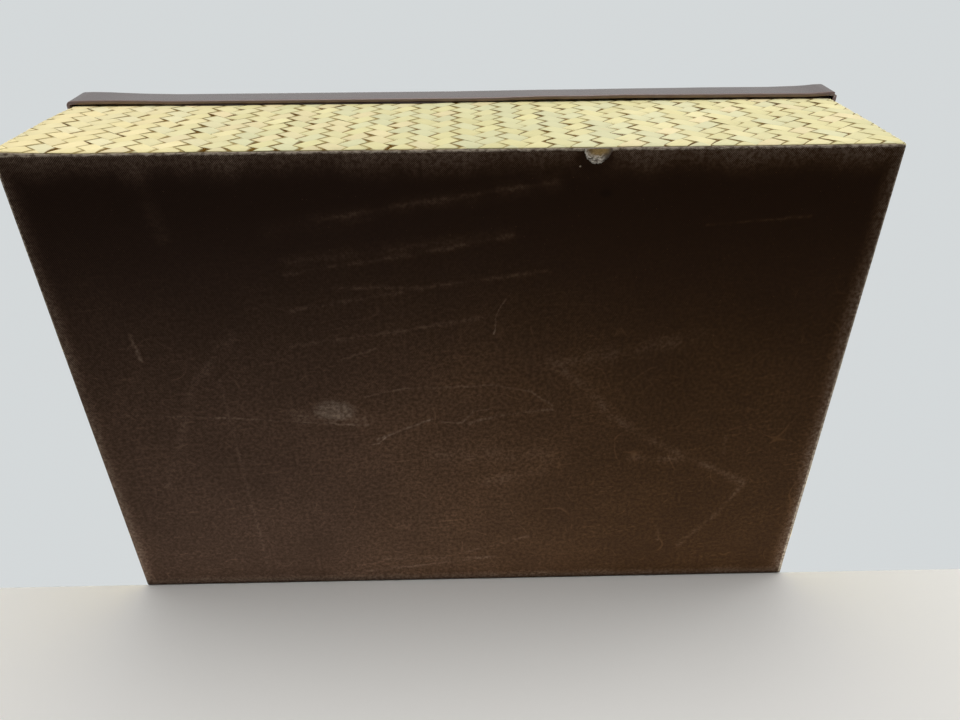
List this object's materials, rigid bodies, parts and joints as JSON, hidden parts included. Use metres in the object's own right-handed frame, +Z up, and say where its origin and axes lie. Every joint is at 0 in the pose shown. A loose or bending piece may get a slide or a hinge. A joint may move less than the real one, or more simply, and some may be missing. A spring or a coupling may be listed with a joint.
{
  "type": "photo storage box",
  "caption": "Shallow rectangular photo storage box: board tray wrapped in plaited strip, with print bays inside and a lift-off leatherette lid.",
  "frame": {"origin": "centre of the flat underside that the box stands on", "axes": "+Z up through the lid, X along the long side, -Y towards the front long side"},
  "size_m": [0.3242, 0.2242, 0.077],
  "materials": {
    "plaited_strip": "plaited split palm or bamboo strip, natural cream, matt",
    "base_cloth": "dark brown twill book cloth, dusty and scuffed",
    "leatherette": "dark brown imitation leather, satin",
    "greyboard": "grey-brown pulp board, matt",
    "tan_board": "tan straw-coloured pulp board, matt",
    "lip_card": "thin card, matt",
    "gummed_paper": "brown kraft gummed paper tape",
    "lining_paper": "cream laid lining paper",
    "divider_card": "card covered both sides in cream paper",
    "infill_card": "thin grey card"
  },
  "bodies": {
    "tray": {"base_board": "tan_board", "base_cloth": "base_cloth", "infill_sheet": "infill_card", "tray_floor_board": "greyboard", "wall_front": "greyboard", "wall_back": "greyboard", "wall_left": "greyboard", "wall_right": "greyboard", "corner_stays": "gummed_paper", "woven_mat": "plaited_strip", "rim_binding": "leatherette", "wall_lining": "lining_paper", "floor_lining": "lining_paper", "divider_long": "divider_card", "divider_cross": "divider_card"},
    "lid": {"lid_board": "greyboard", "lid_lip_front": "lip_card", "lid_lip_back": "lip_card", "lid_lip_left": "lip_card", "lid_lip_right": "lip_card", "lid_corner_stays": "gummed_paper", "lid_cover": "leatherette", "lid_lining": "lining_paper"}
  },
  "joints": [
    {"name": "lid_lift", "type": "slide", "parent": "tray", "child": "lid", "axis": [0, 0, 1], "range_m": [0, 0.09]}
  ]
}
